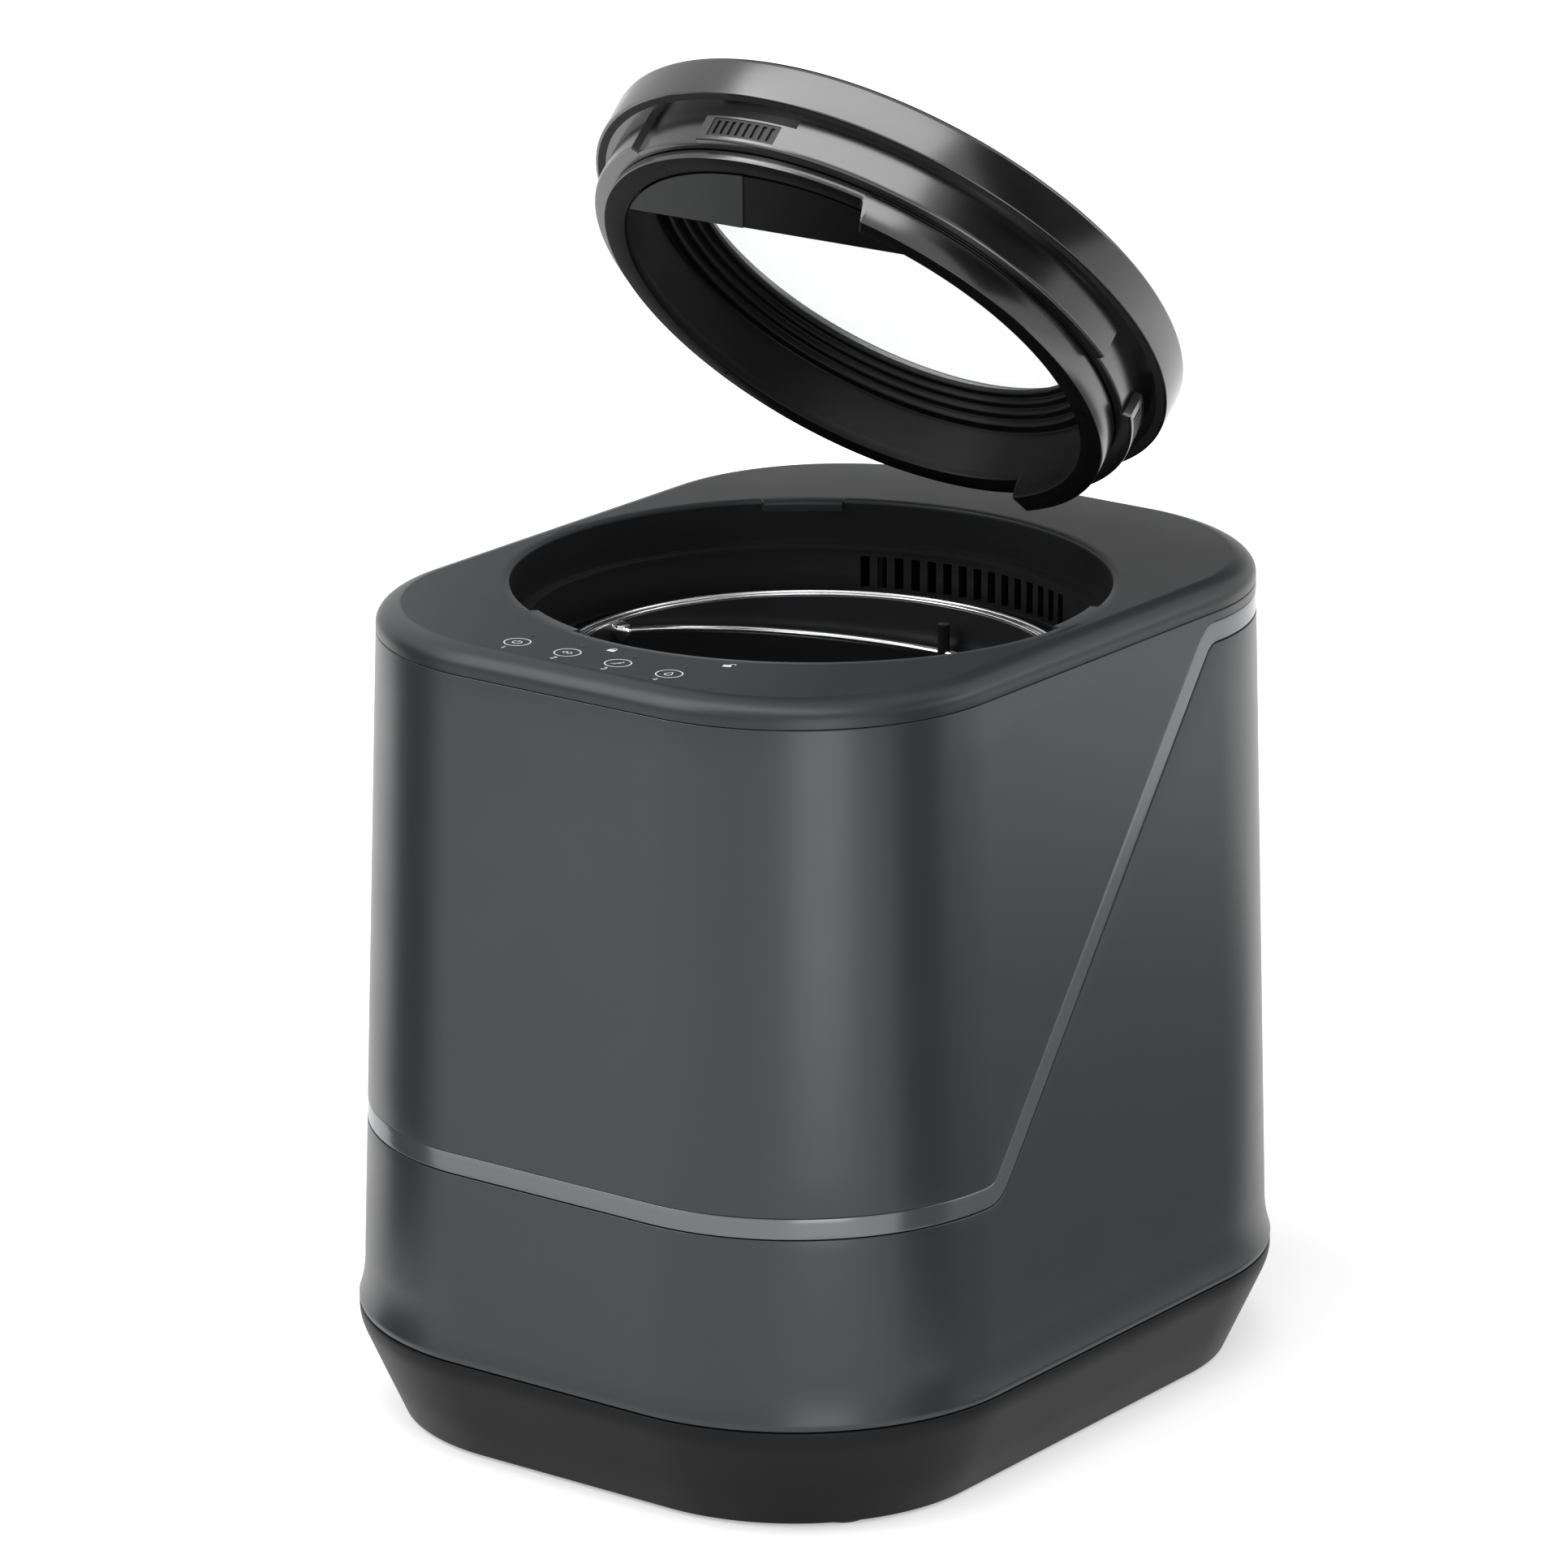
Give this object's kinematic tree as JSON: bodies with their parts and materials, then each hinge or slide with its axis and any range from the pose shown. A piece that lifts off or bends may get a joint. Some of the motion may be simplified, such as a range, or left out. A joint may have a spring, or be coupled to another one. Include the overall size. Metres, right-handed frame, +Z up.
{
  "type": "electric food waste composter",
  "caption": "Electric food waste composter: round-cornered casing on a dark base, deep bucket with a stirrer, twist-lock glass lid tipped open and a filter drawer at the back.",
  "frame": {"origin": "on the floor under the middle of the casing's plan", "axes": "+Z up, front with the touch panel towards -Y, +X to the right seen from the front"},
  "size_m": [0.282, 0.347, 0.5277],
  "materials": {
    "base_plastic": "fine matt",
    "shell_plastic": "satin charcoal",
    "deck_plastic": "satin",
    "trim_satin": "smooth satin",
    "panel_print": "pale print",
    "black_plastic": "satin black",
    "lid_gloss": "gloss black",
    "window_glass": "clear",
    "bucket_coating": "non-stick black coating",
    "bright_steel": "polished",
    "shaft_steel": "ground",
    "screw_steel": "zinc plated",
    "pressed_aluminium": "pressed",
    "brass": "turned",
    "gear_nylon": "natural",
    "circuit_board": "solder mask",
    "felt": "needled felt",
    "carbon": "granular",
    "rubber": "matt"
  },
  "bodies": {
    "base": {"base_skirt": "base_plastic", "bottom_plate": "base_plastic", "rubber_feet": "rubber", "bottom_screws": "screw_steel", "front_shell": "shell_plastic", "rear_shell": "shell_plastic", "trim_band": "trim_satin", "deck_cover": "deck_plastic", "panel_marks": "panel_print", "indicator_lights": "panel_print", "touch_board": "circuit_board", "well_liner": "black_plastic", "chamber": "pressed_aluminium", "heater_plate": "pressed_aluminium", "temperature_sensor": "brass", "insulation_sleeve": "felt", "gearbox_case": "black_plastic", "gearbox_cover": "black_plastic", "gearbox_screws": "screw_steel", "lower_bearing": "shaft_steel", "upper_bearing": "shaft_steel", "motor_can": "shaft_steel", "power_board": "circuit_board", "board_standoffs": "gear_nylon", "mains_inlet": "black_plastic", "air_duct": "black_plastic", "fan_frame": "black_plastic", "fan_screws": "screw_steel", "filter_bay": "black_plastic"},
    "drive": {"drive_gear": "gear_nylon", "drive_shaft": "shaft_steel", "drive_coupling": "black_plastic"},
    "pinion": {"motor_pinion": "brass"},
    "fan": {"fan_rotor": "black_plastic"},
    "drawer": {"filter_drawer": "shell_plastic", "carbon_filter": "carbon", "filter_seal": "rubber"},
    "bucket": {"bucket_pot": "bucket_coating", "bucket_rim": "bright_steel", "bucket_ears": "bright_steel", "bucket_bush": "brass", "fixed_cutters": "shaft_steel"},
    "bail": {"bail_handle": "bright_steel", "bail_tab": "black_plastic"},
    "agitator": {"agitator_hub": "shaft_steel", "agitator_blades": "shaft_steel", "driven_coupling": "black_plastic"},
    "lid_core": {"window_glass": "window_glass"},
    "lid": {"lid_rim": "lid_gloss", "lid_band": "lid_gloss", "lid_skirt": "lid_gloss", "window_bezel": "lid_gloss", "front_block": "lid_gloss", "ribbed_pads": "black_plastic", "lid_screws": "screw_steel", "lid_seal": "rubber"}
  },
  "joints": [
    {"name": "lid_tip", "type": "hinge", "parent": "base", "child": "lid_core", "pos_m": [0, 0.137, 0.326], "axis": [-1, 0, 0], "range_deg": [-47, 42]},
    {"name": "lid_twist", "type": "hinge", "parent": "lid_core", "child": "lid", "pos_m": [0, 0.0375, 0.42874], "axis": [0, 0.7314, 0.682], "range_deg": [-22, 0]},
    {"name": "bucket_lift", "type": "slide", "parent": "base", "child": "bucket", "axis": [0, 0, 1], "range_m": [0, 0.035]},
    {"name": "bail_swing", "type": "hinge", "parent": "bucket", "child": "bail", "pos_m": [0, -0.006, 0.2866], "axis": [1, 0, 0], "range_deg": [0, 100]},
    {"name": "drive_spin", "type": "hinge", "parent": "base", "child": "drive", "pos_m": [0, -0.006, 0.065], "axis": [0, 0, 1], "continuous": true},
    {"name": "pinion_spin", "type": "hinge", "parent": "base", "child": "pinion", "pos_m": [0, -0.0785, 0.065], "axis": [0, 0, 1], "continuous": true},
    {"name": "agitator_spin", "type": "hinge", "parent": "bucket", "child": "agitator", "pos_m": [0, -0.006, 0.13], "axis": [0, 0, 1], "continuous": true},
    {"name": "fan_spin", "type": "hinge", "parent": "base", "child": "fan", "pos_m": [0, 0.13, 0.202], "axis": [0, 1, 0], "continuous": true},
    {"name": "drawer_slide", "type": "slide", "parent": "base", "child": "drawer", "axis": [0, 1, 0], "range_m": [0, 0.08]}
  ],
  "couplings": [
    {"joint": "pinion_spin", "follows": "drive_spin", "ratio": -4.8},
    {"joint": "agitator_spin", "follows": "drive_spin", "ratio": 1}
  ]
}
